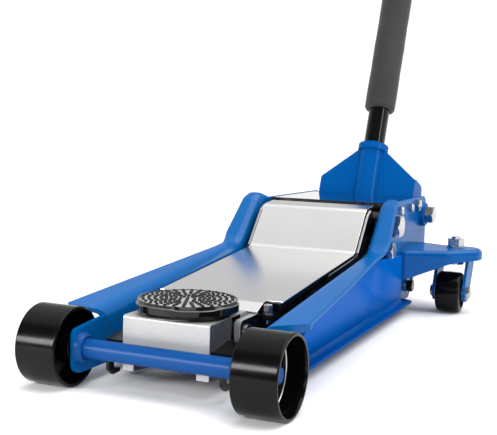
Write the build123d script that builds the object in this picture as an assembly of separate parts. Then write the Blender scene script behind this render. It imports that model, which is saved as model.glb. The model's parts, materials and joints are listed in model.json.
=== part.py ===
from build123d import *
import math
import os

# Low-profile hydraulic trolley jack. Millimetres, +Z up, front of the jack at -Y.
# The layout is written with the front axle at y = 0; every piece is then moved
# by -YC so that the origin lies under the middle of the whole object.

# ---- driving dimensions --------------------------------------------------
# front wheels and axle
AXLE_Z = 45.0
WHEEL_R = 45.0
WHEEL_IN, WHEEL_OUT = 103.4, 154.5
AXLE_BAR_R, AXLE_END_R = 11.0, 9.0
AXLE_END_X = 141.0

# side plates
WEB_IN, WEB_OUT = 97.0, 102.0
SHEET = 5.0
FLANGE_Z80, FLANGE_SLOPE = 86.3, 0.1035
FLANGE_RIGHT = (43.0, ((143.8, 71.0, 5.0), (137.0, 232.0, 300.0), (125.5, 400.0, 30.0)))
FLANGE_LEFT = (34.5, ((151.2, 47.0, 4.0), (121.0, 400.0, 60.0)))
REAR_Y, TOP_Z = 776.0, 184.0
HUMP_Z = 193.5

# lift pivot A, saddle block pivot B, tie rod offset D
AY, AZ = 512.0, 152.0
BY, BZ = 92.0, 62.0
DY, DZ = -9.0, -36.0
LIFT_DEG = 60.0
PIVOT_R = 11.0

# crank and ram
CRANK_R = 85.0
CRANK_START = 30.0
RAM_Z = 73.0
ROLLER_R = 18.0
RAM_STROKE = 2 * CRANK_R * math.sin(math.radians(CRANK_START))

# yoke, pump and handle
YY, YZ = 745.0, 153.0
YOKE_DEG = 55.0
PUMP_R = 38.0
PUMP_ROLLER_R = 14.0
PUMP_Z = 117.0
PUMP_STROKE = 2 * PUMP_R * math.sin(math.radians(YOKE_DEG / 2))
HY, HZ = 781.0, 266.0
HANDLE_LEAN = 23.0
HANDLE_R = 18.5
UPPER_R = 15.75
FOAM_R = 27.5
GRIP_R = 19.5
HANDLE_TOP = 850.0

# saddle
SADDLE_Y, SADDLE_Z, SADDLE_R = 64.6, 101.0, 60.0
BLOCK_TOP = 81.5
BLOCK_FRONT = 20.0

# casters
CX, CY = 172.0, 706.0
CASTER_TRAIL = 32.0
CASTER_R = 33.5
BRACKET_Z = 104.0

# running clearance on a radius
FIT = 0.05

_s, _c = math.sin(math.radians(HANDLE_LEAN)), math.cos(math.radians(HANDLE_LEAN))
Y_FRONT = -WHEEL_R
Y_BACK = HY + _s * HANDLE_TOP + _c * GRIP_R
YC = (Y_FRONT + Y_BACK) / 2

# derived points
CRANK_PIN = (
    AY + CRANK_R * math.sin(math.radians(CRANK_START)),
    AZ - CRANK_R * math.cos(math.radians(CRANK_START)),
)
TIE_REAR = (AY + DY, AZ + DZ)
TIE_FRONT = (BY + DY, BZ + DZ)
PUMP_PIN = (
    YY + PUMP_R * math.sin(math.radians(YOKE_DEG / 2)),
    YZ - PUMP_R * math.cos(math.radians(YOKE_DEG / 2)),
)
RAM_FACE_Y = CRANK_PIN[0] + ROLLER_R + 1.2
PLUNGER_FACE_Y = PUMP_PIN[0] - PUMP_ROLLER_R - 1.0


def flange_z(y):
    return FLANGE_Z80 + FLANGE_SLOPE * (y - 80.0)


def handle_pt(s):
    return HY + _s * s, HZ + _c * s


# ---- helpers -------------------------------------------------------------
def rounded(points, put):
    """Closed face through (u, v, radius) corners; put(u, v) places a point."""
    n = len(points)
    corners = []
    for i, p in enumerate(points):
        u, v = p[0], p[1]
        r = p[2] if len(p) > 2 else 0.0
        if r <= 0:
            corners.append(((u, v), None, (u, v)))
            continue
        a, b = points[i - 1], points[(i + 1) % n]
        d1 = (a[0] - u, a[1] - v)
        d2 = (b[0] - u, b[1] - v)
        l1, l2 = math.hypot(*d1), math.hypot(*d2)
        d1 = (d1[0] / l1, d1[1] / l1)
        d2 = (d2[0] / l2, d2[1] / l2)
        dot = max(-1.0, min(1.0, d1[0] * d2[0] + d1[1] * d2[1]))
        half = math.acos(dot) / 2
        t = r / math.tan(half)
        p1 = (u + d1[0] * t, v + d1[1] * t)
        p2 = (u + d2[0] * t, v + d2[1] * t)
        bis = (d1[0] + d2[0], d1[1] + d2[1])
        lb = math.hypot(*bis)
        centre = r / math.sin(half)
        mid = (
            u + bis[0] / lb * (centre - r),
            v + bis[1] / lb * (centre - r),
        )
        corners.append((p1, mid, p2))
    edges = []
    for i in range(n):
        p1, mid, p2 = corners[i]
        if mid is not None:
            edges.append(ThreePointArc(put(*p1), put(*mid), put(*p2)))
        nxt = corners[(i + 1) % n][0]
        if math.hypot(nxt[0] - p2[0], nxt[1] - p2[1]) > 1e-6:
            edges.append(Line(put(*p2), put(*nxt)))
    return make_face(edges)


def prism_x(points, x0, x1):
    """Outline in (y, z), pushed from x0 to x1."""
    face = rounded(points, lambda u, v: (x0, u, v))
    return extrude(face, amount=x1 - x0, dir=(1, 0, 0))


def prism_z(points, z0, z1):
    """Outline in (x, y), pushed from z0 to z1."""
    face = rounded(points, lambda u, v: (u, v, z0))
    return extrude(face, amount=z1 - z0, dir=(0, 0, 1))


def box(x0, x1, y0, y1, z0, z1):
    return Pos((x0 + x1) / 2, (y0 + y1) / 2, (z0 + z1) / 2) * Box(
        x1 - x0, y1 - y0, z1 - z0
    )


def rod_x(y, z, r, x0, x1):
    return Pos((x0 + x1) / 2, y, z) * Rot(0, 90, 0) * Cylinder(r, x1 - x0)


def rod_y(x, z, r, y0, y1):
    return Pos(x, (y0 + y1) / 2, z) * Rot(90, 0, 0) * Cylinder(r, y1 - y0)


def rod_z(x, y, r, z0, z1):
    return Pos(x, y, (z0 + z1) / 2) * Cylinder(r, z1 - z0)


def rod_h(r, s0, s1):
    """Cylinder on the handle axis between distances s0 and s1."""
    y, z = handle_pt((s0 + s1) / 2)
    return Pos(0, y, z) * Rot(-HANDLE_LEAN, 0, 0) * Cylinder(r, s1 - s0)


def hex_x(y, z, across, x0, x1):
    """Hexagon along X with the bolt head's round chamfer on its outer end."""
    r = across / 2 / math.cos(math.pi / 6)
    pts = [
        (y + r * math.cos(math.radians(60 * k)), z + r * math.sin(math.radians(60 * k)))
        for k in range(6)
    ]
    body = prism_x(pts, x0, x1)
    cone = revolve(
        make_face(
            Polyline(
                (x0 - 1, y, z),
                (x0 - 1, y, z + r + 1),
                (x1 - 2.2, y, z + r + 1),
                (x1 - 2.2, y, z + r + 0.2),
                (x1, y, z + across / 2 - 0.6),
                (x1, y, z),
                close=True,
            )
        ),
        axis=Axis((0, y, z), (1, 0, 0)),
    )
    return body & cone


def hex_z(x, y, across, z0, z1):
    r = across / 2 / math.cos(math.pi / 6)
    pts = [
        (x + r * math.cos(math.radians(60 * k)), y + r * math.sin(math.radians(60 * k)))
        for k in range(6)
    ]
    return prism_z(pts, z0, z1)


def turned_x(profile, y, z):
    """Solid of revolution about X through (y, z); profile in (x, radius)."""
    face = make_face(Polyline(*[(x, y, z + r) for x, r in profile], close=True))
    return revolve(face, axis=Axis((0, y, z), (1, 0, 0)))


def turned_z(profile, x, y):
    """Solid of revolution about Z through (x, y); profile in (radius, z)."""
    face = make_face(Polyline(*[(x + r, y, z) for r, z in profile], close=True))
    return revolve(face, axis=Axis((x, y, 0), (0, 0, 1)))


def flip(shape):
    return mirror(shape, about=Plane.YZ)


def group(*shapes):
    solids = []
    for s in shapes:
        solids += list(s.solids())
    return Compound(children=solids)


def pair(shape):
    return group(shape, flip(shape))


def band(path, t):
    """Closed outline of a sheet of thickness t below the polyline path."""
    low = []
    n = len(path)
    for i, (u, v) in enumerate(path):
        normals = []
        for j in (i - 1, i):
            if 0 <= j < n - 1:
                du, dv = path[j + 1][0] - path[j][0], path[j + 1][1] - path[j][1]
                length = math.hypot(du, dv)
                normals.append((dv / length, -du / length))
        nx = sum(k[0] for k in normals) / len(normals)
        ny = sum(k[1] for k in normals) / len(normals)
        scale = t / (nx * nx + ny * ny)
        low.append((u + nx * scale, v + ny * scale))
    return list(path) + low[::-1]


# ---- frame ---------------------------------------------------------------
SCREWS = [(594.0, 169.0), (660.0, 169.5), (711.0, 171.0)]
MOUNTS = [(655.0, 40.0), (697.0, 44.0)]


ROLL = 15.0


def bent(points, steps=4):
    """Polyline through (y, z, radius) corners with each corner turned in short steps."""
    out = []
    for i, (y, z, r) in enumerate(points):
        if r <= 0 or i in (0, len(points) - 1):
            out.append((y, z))
            continue
        (ya, za, _), (yb, zb, _) = points[i - 1], points[i + 1]
        la, lb = math.hypot(ya - y, za - z), math.hypot(yb - y, zb - z)
        ua, ub = ((ya - y) / la, (za - z) / la), ((yb - y) / lb, (zb - z) / lb)
        half = math.acos(max(-1.0, min(1.0, ua[0] * ub[0] + ua[1] * ub[1]))) / 2
        d = r / math.tan(half)
        p0 = (y + ua[0] * d, z + ua[1] * d)
        p2 = (y + ub[0] * d, z + ub[1] * d)
        for k in range(steps + 1):
            t = k / steps
            out.append(
                (
                    (1 - t) ** 2 * p0[0] + 2 * t * (1 - t) * y + t * t * p2[0],
                    (1 - t) ** 2 * p0[1] + 2 * t * (1 - t) * z + t * t * p2[1],
                )
            )
    return out


def rail_path():
    """Top line of a rail in (y, z): flange, ramp and hump."""
    return bent(
        [
            (14.0, flange_z(14.0), 0.0),
            (425.0, flange_z(425.0), 40.0),
            (487.0, 185.0, 24.0),
            (506.0, HUMP_Z, 30.0),
            (528.0, TOP_Z, 0.0),
        ]
    )


def side_plate(inner_y, edge):
    """Right-hand plate; the flange starts at inner_y and its outer edge runs through edge."""
    path = rail_path()
    low = band(path, 18.5)[len(path) :][::-1]
    outline = [
        (-15.0, 17.0, 13.0),
        (-15.0, 67.0, 15.0),
        (0.0, 68.6, 30.0),
        (32.0, 73.2),
        (44.0, flange_z(44.0) - 15.0),
    ]
    outline += [q for q in low if q[0] > 60.0][:-1]
    outline += [
        (522.0, 168.0),
        (526.0, TOP_Z),
        (REAR_Y, TOP_Z, 20.0),
        (REAR_Y, 60.0, 10.0),
        (722.0, 50.0, 20.0),
        (672.0, 17.0, 20.0),
    ]
    web = prism_x(outline, WEB_IN, WEB_OUT)

    # sheet section (x, depth): web, rolled bend, flange
    arc = [math.radians(90.0 * k / 6) for k in range(7)]
    cx = WEB_IN + ROLL
    profile = [(WEB_IN, ROLL + 7.0)]
    profile += [(cx - ROLL * math.cos(t), ROLL - ROLL * math.sin(t)) for t in arc]
    profile += [(150.0, 0.0), (150.0, SHEET)]
    inner = ROLL - SHEET
    profile += [(cx - inner * math.cos(t), ROLL - inner * math.sin(t)) for t in arc[::-1]]
    profile += [(WEB_OUT, ROLL + 7.0)]
    faces = []
    n = len(path)
    for i, (y, z) in enumerate(path):
        normals = []
        for j in (i - 1, i):
            if 0 <= j < n - 1:
                du, dv = path[j + 1][0] - path[j][0], path[j + 1][1] - path[j][1]
                length = math.hypot(du, dv)
                normals.append((dv / length, -du / length))
        ny = sum(k[0] for k in normals) / len(normals)
        nz = sum(k[1] for k in normals) / len(normals)
        m = ny * ny + nz * nz
        faces.append(
            make_face(Polyline(*[(x, y + ny * d / m, z + nz * d / m) for x, d in profile], close=True))
        )
    sheet = loft(faces, ruled=True)
    # the flange widens a little where it climbs the ramp
    ramp = ((131.5, 446.0, 20.0), (124.5, 488.0, 30.0), (119.5, 508.0, 10.0))
    plan = prism_z(
        [
            (90.0, inner_y - 6.0),
            (101.0, inner_y),
            *edge,
            *ramp,
            (114.0, 523.0, 4.0),
            (104.0, 540.0),
            (90.0, 540.0),
        ],
        0,
        220,
    )
    plate = web + (sheet & plan)
    cuts = [
        rod_x(0, AXLE_Z, AXLE_END_R, 90, 110),
        rod_x(AY, AZ, PIVOT_R, 90, 110),
        rod_x(*TIE_REAR, 8.0, 90, 110),
        rod_x(YY, YZ, 9.0, 90, 110),
    ]
    cuts += [rod_x(y, z, 3.0, 90, 110) for y, z in SCREWS]
    cuts += [rod_x(y, z, 5.0, 90, 110) for y, z in MOUNTS]
    for c in cuts:
        plate -= c
    return plate


def skirt(tops):
    """Lower side sheet; tops lists (y, x) of its upper edge below the flange."""

    def section(y, xt, zt, root, lip, foot):
        pts = [
            (xt, zt),
            (root + 1.5, 40.0),
            (root + 3.5, 29.0),
            (root + 8.0, 22.5),
            (lip, 20.5),
            (lip, 16.5),
            (WEB_OUT, 16.5),
            (WEB_OUT, foot),
            (max(WEB_OUT, xt - 5.0), zt),
        ]
        return make_face(Polyline(*[(x, y, z) for x, z in pts], close=True))

    # the front end leans back below the flange, clear of the wheel
    faces = [
        section(y, x, flange_z(y) - SHEET - 0.1, 106.0, 123.5 - 2.0 * (y - 76.0) / 324.0, 35.0)
        for y, x in tops
    ]
    faces += [
        section(424.0, 118.6, flange_z(424.0) - SHEET - 0.4, 106.0, 121.3, 36.0),
        section(462.0, 113.0, 106.0, 105.8, 121.0, 40.0),
        section(602.0, 107.2, 97.0, 105.5, 120.3, 60.0),
    ]
    tail = prism_z([(WEB_OUT, 601.0), (120.3, 601.0), (120.0, 626.0), (WEB_OUT, 638.0)], 16.5, 20.5)
    return loft(faces, ruled=True) + tail


def caster_bracket():
    plan = [
        (WEB_OUT, 603.0),
        (112.0, 603.5, 12.0),
        (176.0, 640.0, 40.0),
        (216.0, 690.0, 26.0),
        (214.0, 738.0, 26.0),
        (150.0, 734.0, 30.0),
        (WEB_OUT, 754.0),
    ]
    inner = [
        (WEB_OUT - 1, 608.0),
        (108.7, 608.5, 5.0),
        (173.5, 644.8, 36.0),
        (211.0, 691.0, 21.0),
        (209.0, 760.0),
        (WEB_OUT - 1, 760.0),
    ]
    body = prism_z(plan, 50.0, BRACKET_Z)
    try:
        top = [
            e
            for e in body.edges()
            if abs(e.center().Z - BRACKET_Z) < 0.01 and e.center().X > 106
        ]
        body = fillet(top, 9.0)
    except Exception:
        pass
    body -= prism_z(inner, 0.0, BRACKET_Z - SHEET)
    below = prism_y_cut(
        [(90, 56.0), (112.0, 57.0), (176.0, 83.0, 40.0), (230.0, 88.5), (230, 0), (90, 0)]
    )
    body -= below
    body -= rod_z(CX, CY, 8.0, 90, 120)
    return max(body.solids(), key=lambda s: s.volume)


def prism_y_cut(points):
    face = rounded(points, lambda u, v: (u, 560.0, v))
    return extrude(face, amount=260.0, dir=(0, 1, 0))


def frame_parts():
    p = {}
    # the two flanges start at different places above the wheels
    p["side_plate_right"] = side_plate(*FLANGE_RIGHT)
    p["side_plate_left"] = flip(side_plate(*FLANGE_LEFT))
    p["side_skirt_right"] = skirt([(72.0, 142.8), (232.0, 136.0), (400.0, 122.3)])
    p["side_skirt_left"] = flip(skirt([(76.0, 147.2), (400.0, 119.8)]))
    br = caster_bracket()
    p["caster_bracket_right"], p["caster_bracket_left"] = br, flip(br)
    axle = rod_x(0, AXLE_Z, AXLE_BAR_R, -WEB_IN, WEB_IN) + turned_x(
        [
            (-AXLE_END_X, 0),
            (-AXLE_END_X, AXLE_END_R - 1.5),
            (-AXLE_END_X + 1.5, AXLE_END_R),
            (AXLE_END_X - 1.5, AXLE_END_R),
            (AXLE_END_X, AXLE_END_R - 1.5),
            (AXLE_END_X, 0),
        ],
        0,
        AXLE_Z,
    )
    boss = turned_x(
        [(WEB_IN, 8.0), (WEB_IN, 18.0), (93.0, 17.0), (89.5, 14.0), (89.5, 8.0)],
        0,
        AXLE_Z,
    )
    p["front_axle"] = axle + boss + flip(boss)
    ring = rod_x(0, AXLE_Z, 12.5, 135.6, 137.6) - rod_x(0, AXLE_Z, AXLE_END_R, 120, 145)
    ring -= box(120, 145, -3, 3, AXLE_Z - 20, AXLE_Z)
    p["axle_retaining_rings"] = pair(ring)
    tube = rod_x(430, 32, 13, -WEB_IN, WEB_IN) - rod_x(430, 32, 10, -WEB_IN - 1, WEB_IN + 1)
    p["cross_tube"] = tube

    # bolts through the side plates
    bolt = rod_x(AY, AZ, PIVOT_R, -117, 110.5) + hex_x(AY, AZ, 32, 110.5, 128.0)
    bolt += rod_x(AY, AZ, 19, WEB_OUT, 110.5)
    p["lift_pivot_bolt"] = bolt
    nut = flip(hex_x(AY, AZ, 32, 104.5, 115.0)) + rod_x(AY, AZ, 19, -104.5, -WEB_OUT)
    p["lift_pivot_nut"] = nut - rod_x(AY, AZ, PIVOT_R, -130, -90)
    tie = rod_x(*TIE_REAR, 8.0, 66.0, WEB_OUT) + hex_x(*TIE_REAR, 23, WEB_OUT, 120.0)
    p["tie_rod_anchor_bolts"] = pair(tie)
    yboss = turned_x(
        [(WEB_OUT, 9.0), (WEB_OUT, 21.0), (109.0, 20.0), (110.5, 18.5), (110.5, 9.0)], YY, YZ
    )
    ybolt = rod_x(YY, YZ, 9.0, 78.0, 110.5) + hex_x(YY, YZ, 27, 110.5, 124.5)
    p["yoke_pivot_bolts"] = pair(ybolt)
    yspace = rod_x(YY, YZ, 12, 87.3, WEB_IN) - rod_x(YY, YZ, 9.0, 80, 100)
    p["yoke_pivot_spacers"] = group(yboss, flip(yboss), yspace, flip(yspace))

    # rear top cover, a folded sheet between the side plates
    cover = box(-96.8, 96.8, 541, 733, 158, 183.5) - box(-94.3, 94.3, 500, 760, 100, 181)
    cover -= prism_z([(-41, 694, 26), (41, 694, 26), (41, 760), (-41, 760)], 100, 200)
    try:
        cover = fillet(
            [
                e
                for e in cover.edges()
                if abs(abs(e.center().X) - 96.8) < 0.01 and abs(e.center().Z - 183.5) < 0.01
            ],
            2.4,
        )
    except Exception:
        pass
    for sx in (-1, 1):
        for y, z in SCREWS:
            cover -= rod_x(y, z, 3.0, min(sx * 90, sx * 100), max(sx * 90, sx * 100))
    p["rear_cover"] = cover
    screws = []
    for k, (y, z) in enumerate(SCREWS):
        head = 6.5 if k < 2 else 9.0
        s = rod_x(y, z, 3.0, 92.0, WEB_OUT) + hex_x(y, z, head * 2, WEB_OUT, WEB_OUT + 6)
        screws += [s, flip(s)]
    p["cover_screws"] = group(*screws)

    # hydraulic power unit
    block = box(-58, 58, 640, 705, 28, 150) + box(-45, 45, 705, 735, 35, 100)
    block += box(-WEB_IN, WEB_IN, 643, 705, 28, 56)
    block += box(-16, 16, 704, 734, 137, 150) + rod_h(12.0, -136, -121)
    block -= rod_y(0, RAM_Z, 32.0, 600, 722)
    block -= rod_y(0, PUMP_Z, 9.0 + FIT, 645, 760)
    block -= rod_h(7.0 + FIT, -132, -100)
    for sx in (-1, 1):
        for y, z in MOUNTS:
            block -= rod_x(y, z, 5.0, min(sx * 70, sx * 110), max(sx * 70, sx * 110))
    block -= rod_z(0, 664, 8.0, 140, 160)
    p["pump_block"] = block
    cyl = rod_y(0, RAM_Z, 32.0, 602, 722) - rod_y(0, RAM_Z, 25.0, 590, 716)
    gland = rod_y(0, RAM_Z, 38.0, 590, 602) - rod_y(0, RAM_Z, 18.0 + FIT, 580, 610)
    p["ram_cylinder"] = cyl + gland
    tank = rod_y(0, RAM_Z, 50.0, 604, 640) - rod_y(0, RAM_Z, 32.0, 600, 650)
    p["oil_reservoir"] = tank
    plug = rod_z(0, 664, 8.0, 140, 150) + hex_z(0, 664, 22, 150, 158)
    p["filler_plug"] = plug
    mounts = []
    for y, z in MOUNTS:
        m = rod_x(y, z, 5.0, 72.0, WEB_OUT) + turned_x(
            [(WEB_OUT, 0), (WEB_OUT, 9.0), (103.4, 8.6), (104.8, 6.4), (104.8, 0)], y, z
        )
        if y < 670.0:
            # the front pair has washers and hexagon heads, out of the casters' reach
            m = rod_x(y, z, 5.0, 72.0, WEB_OUT) + rod_x(y, z, 11.0, WEB_OUT, 104.5)
            m += hex_x(y, z, 18.0, 104.5, 114.0)
        mounts += [m, flip(m)]
    p["pump_mount_bolts"] = group(*mounts)
    return p


# ---- wheels --------------------------------------------------------------
def wheel_parts():
    p = {}
    wheel = turned_x(
        [
            (WHEEL_IN + 0.4, AXLE_END_R + FIT),
            (WHEEL_IN + 0.4, 17.0),
            (122.0, 18.5),
            (122.0, 37.0),
            (WHEEL_IN, 41.0),
            (WHEEL_IN, WHEEL_R - 2.5),
            (WHEEL_IN + 2.5, WHEEL_R),
            (WHEEL_OUT - 2.0, WHEEL_R),
            (WHEEL_OUT, WHEEL_R - 2.0),
            (WHEEL_OUT, 41.5),
            (152.0, 40.5),
            (135.0, 40.0),
            (130.0, 36.0),
            (130.0, 16.0),
            (135.0, 14.5),
            (135.0, AXLE_END_R + FIT),
        ],
        0,
        AXLE_Z,
    )
    p["front_wheel_right"], p["front_wheel_left"] = wheel, flip(wheel)

    ay = CY - CASTER_TRAIL
    fork = rod_z(CX, CY, 26.0, 84.0, 90.0)
    leg = prism_x(
        [
            (683.0, 90.0, 3.0),
            (731.0, 90.0, 3.0),
            (729.0, 74.0, 10.0),
            (ay + 17, 18.0, 15.0),
            (ay - 15, 18.5, 14.0),
            (ay - 15, 46.0, 12.0),
        ],
        CX + 22.0,
        CX + 27.0,
    )
    leg2 = Pos(-49.0, 0, 0) * leg
    fork = fork + leg + leg2 + box(CX - 22.5, CX + 22.5, 687, 727, 84, 90)
    fork -= rod_z(CX, CY, 8.0 + FIT, 70, 100)
    fork -= rod_x(ay, CASTER_R, 6.0, CX - 40, CX + 40)
    p["caster_fork_right"], p["caster_fork_left"] = fork, flip(fork)
    cw = turned_x(
        [
            (CX - 20.0, 6.0 + FIT),
            (CX - 20.0, 12.0),
            (CX - 15.5, 13.5),
            (CX - 15.5, 24.5),
            (CX - 20.0, 26.5),
            (CX - 19.0, 29.5),
            (CX - 15.5, 32.4),
            (CX - 10.0, CASTER_R),
            (CX + 10.0, CASTER_R),
            (CX + 15.5, 32.4),
            (CX + 19.0, 29.5),
            (CX + 20.0, 26.5),
            (CX + 15.5, 24.5),
            (CX + 15.5, 13.5),
            (CX + 20.0, 12.0),
            (CX + 20.0, 6.0 + FIT),
        ],
        ay,
        CASTER_R,
    )
    p["caster_wheel_right"], p["caster_wheel_left"] = cw, flip(cw)
    ax = rod_x(ay, CASTER_R, 6.0, CX - 27.0, CX + 34.0) + flip(
        hex_x(ay, CASTER_R, 18, -CX + 27.0, -CX + 32.0)
    )
    nut = hex_x(ay, CASTER_R, 18, CX + 27.0, CX + 33.0)
    ax = ax + nut
    p["caster_axle_right"], p["caster_axle_left"] = ax, flip(ax)
    king = rod_z(CX, CY, 8.0, 84.0, 122.0) + rod_z(CX, CY, 14.0, 76.0, 83.8)
    king += rod_z(CX, CY, 8.0, 83.0, 85.0)
    king += turned_z(
        [(7.0, 90.3), (22.0, 90.3), (24.0, 92.0), (24.0, 97.0), (22.0, 99.0), (7.0, 99.0)],
        CX,
        CY,
    )
    p["caster_kingpins"] = pair(king)
    kn = hex_z(CX, CY, 24, 106.5, 118.5) + rod_z(CX, CY, 15.0, BRACKET_Z, 106.5)
    kn -= rod_z(CX, CY, 8.0, 100, 125)
    p["caster_kingpin_nuts"] = pair(kn)
    return p


# ---- lift arm, saddle block and saddle -------------------------------------
def arm_parts():
    p = {}
    outline = [
        (73.0, 78.5, 6.0),
        (124.0, 79.0),
        (146.0, 81.95),
        (405.0, 106.55),
        (407.0, 112.9),
        (422.9, 114.45),
        (468.4, 166.9),
        (480.3, 175.2),
        (505.0, 177.6),
        (539.0, 176.0, 24.0),
        (539.0, 128.0, 24.0),
        (492.0, 128.5, 14.0),
        (440.0, 82.0, 30.0),
        (380.0, 62.0, 60.0),
        (130.0, 45.5, 30.0),
        (73.0, 43.0, 19.0),
    ]
    plate = prism_x(outline, 54.0, 62.0)
    # stud tab on the outside behind the saddle block
    plate += box(61.0, 78.0, 123.0, 147.0, 72.0, 78.5)
    plate -= rod_x(AY, AZ, 20.0, 40, 110)
    plate -= rod_x(BY, BZ, 10.0, 40, 110)
    plate -= rod_z(69.0, 134.0, 3.0, 60, 100)
    p["arm_plate_right"], p["arm_plate_left"] = plate, flip(plate)
    tube = rod_x(AY, AZ, 20.0, -95, 95) - rod_x(AY, AZ, PIVOT_R + FIT, -100, 100)
    p["arm_pivot_tube"] = tube

    cross = prism_x(band([(146.0, 88.16), (405.0, 112.79)], 6.0), -80.0, 80.0)
    p["arm_cross_plate"] = cross
    cov = [
        (118.0, 81.2),
        (137.0, 89.392),
        (421.5, 116.45),
        (466.6, 169.2),
        (480.0, 178.4),
        (509.0, 181.155),
    ]
    b = band(cov, 2.0)
    turn = {0: 0.0, 5: 0.0, 6: 0.0, 11: 0.0, 1: 3.0, 10: 3.0}
    cover = prism_x([(*q, turn.get(i, 9.0)) for i, q in enumerate(b)], -82.5, 82.5)
    notch = box(62.0, 90.0, 100, 148, 60, 120)
    cover -= notch
    cover -= flip(notch)
    p["arm_cover"] = cover
    py, pz = CRANK_PIN
    dy, dz = py - AY, pz - AZ
    length = math.hypot(dy, dz)
    ny, nz = -dz / length, dy / length
    quad = [
        (AY + ny * 26, AZ + nz * 26),
        (py + ny * 20, pz + nz * 20),
        (py - ny * 20, pz - nz * 20),
        (AY - ny * 26, AZ - nz * 26),
    ]
    lever = prism_x(quad, 28.0, 40.0) + rod_x(AY, AZ, 26.0, 28, 40) + rod_x(py, pz, 20.0, 28, 40)
    lever -= rod_x(AY, AZ, 20.0, 20, 50)
    lever -= rod_x(py, pz, 12.0, 20, 50)
    p["crank_lever_right"], p["crank_lever_left"] = lever, flip(lever)
    p["crank_pin"] = rod_x(py, pz, 12.0, -42, 42)
    p["crank_roller"] = rod_x(py, pz, ROLLER_R, -27.5, 27.5) - rod_x(
        py, pz, 12.0 + FIT, -40, 40
    )
    pin = rod_x(BY, BZ, 10.0, -64.0, 64.0)
    stud = rod_z(69.0, 134.0, 3.0, 66.0, 84.0) + hex_z(69.0, 134.0, 10, 78.5, 88.0)
    p["saddle_block_pins"] = group(pin, stud, flip(stud))

    # saddle block: body, pivot tongue, tie rod lug and two side wings
    block = prism_z(
        [(-55, BLOCK_FRONT, 6.0), (52.5, BLOCK_FRONT, 9.0), (52.5, 72.0, 3.0), (-55, 72.0, 3.0)],
        16.0,
        BLOCK_TOP,
    )
    block += prism_x(
        [(66.0, BLOCK_TOP), (112.0, BLOCK_TOP), (112.0, 66.0, 8.0), (105.0, 48.0, 12.0), (66.0, 48.0)],
        -44.0,
        44.0,
    )
    block += prism_x([(66.0, 50.0), (95.0, 50.0, 6.0), (95.0, 15.0, 10.0), (66.0, 15.0)], -50.0, 50.0)
    wing = prism_x([(23.0, 52.6), (60.0, 58.6), (60.0, 54.6), (23.0, 48.6)], 50.0, 80.0)
    block += wing
    block += flip(wing)
    block -= rod_x(BY, BZ, 10.0 + FIT, -60.0, 60.0)
    block -= rod_z(0, SADDLE_Y, 15.0 + FIT, 56.0, 100.0)
    block -= rod_x(*TIE_FRONT, 7.0, -80, 80)
    # open between two feet at the lower front
    block -= box(-42, 36, 10, 66, 0, 30)
    p["saddle_block"] = block
    front = box(-56, 51, 18.5, BLOCK_FRONT, 15.5, BLOCK_TOP + 1.5)
    top = box(-56, 51, 18.5, 72, BLOCK_TOP, BLOCK_TOP + 1.5)
    top += box(-51, 51, 70, 112, BLOCK_TOP, BLOCK_TOP + 1.5)
    bc = front + top
    bc -= box(-42, 36, 10, 30, 0, 30)
    try:
        bc = fillet(
            [
                e
                for e in bc.edges()
                if abs(e.center().Y - 18.5) < 0.01 and abs(e.center().Z - BLOCK_TOP - 1.5) < 0.01
            ],
            1.4,
        )
    except Exception:
        pass
    bc -= rod_z(0, SADDLE_Y, 15.3, 70, 100)
    p["saddle_block_cover"] = bc
    p["tie_rod_front_pin"] = rod_x(*TIE_FRONT, 7.0, -84, 84)

    saddle = turned_z(
        [
            (0.0, 58.0),
            (13.5, 58.0),
            (15.0, 59.5),
            (15.0, 83.4),
            (46.0, 83.4),
            (52.0, 85.0),
            (54.0, 88.0),
            (59.0, 89.5),
            (SADDLE_R, 91.0),
            (SADDLE_R, 97.0),
            (59.3, 98.2),
            (55.4, SADDLE_Z),
            (52.6, SADDLE_Z),
            (51.2, 99.0),
            (12.0, 99.0),
            (12.0, SADDLE_Z),
            (0.0, SADDLE_Z),
        ],
        0,
        SADDLE_Y,
    )
    p["saddle"] = saddle

    # tie rods below the arm
    ry, rz = TIE_REAR
    fy, fz = TIE_FRONT
    span = math.hypot(ry - fy, rz - fz)
    ang = math.degrees(math.atan2(rz - fz, ry - fy))
    bar = (
        Pos(76, (ry + fy) / 2, (rz + fz) / 2)
        * Rot(ang, 0, 0)
        * Rot(90, 0, 0)
        * Cylinder(6.0, span - 4)
    )
    eye_r = rod_x(ry, rz, 12.0, 69.5, 82.5)
    eye_f = rod_x(fy, fz, 11.0, 69.5, 82.5)
    rod = bar + eye_r + eye_f
    rod -= rod_x(ry, rz, 8.0 + FIT, 60, 90)
    rod -= rod_x(fy, fz, 7.0 + FIT, 60, 90)
    p["tie_rod_right"], p["tie_rod_left"] = rod, flip(rod)

    # ram
    ram = rod_y(0, RAM_Z, 18.0, RAM_FACE_Y + 12, 697.0)
    ram += rod_y(0, RAM_Z, 25.0 - FIT, 696.0, 713.0)
    p["ram_rod"] = ram
    head = rod_y(0, RAM_Z, 22.0, RAM_FACE_Y, RAM_FACE_Y + 12)
    p["ram_head"] = head
    return p


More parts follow.
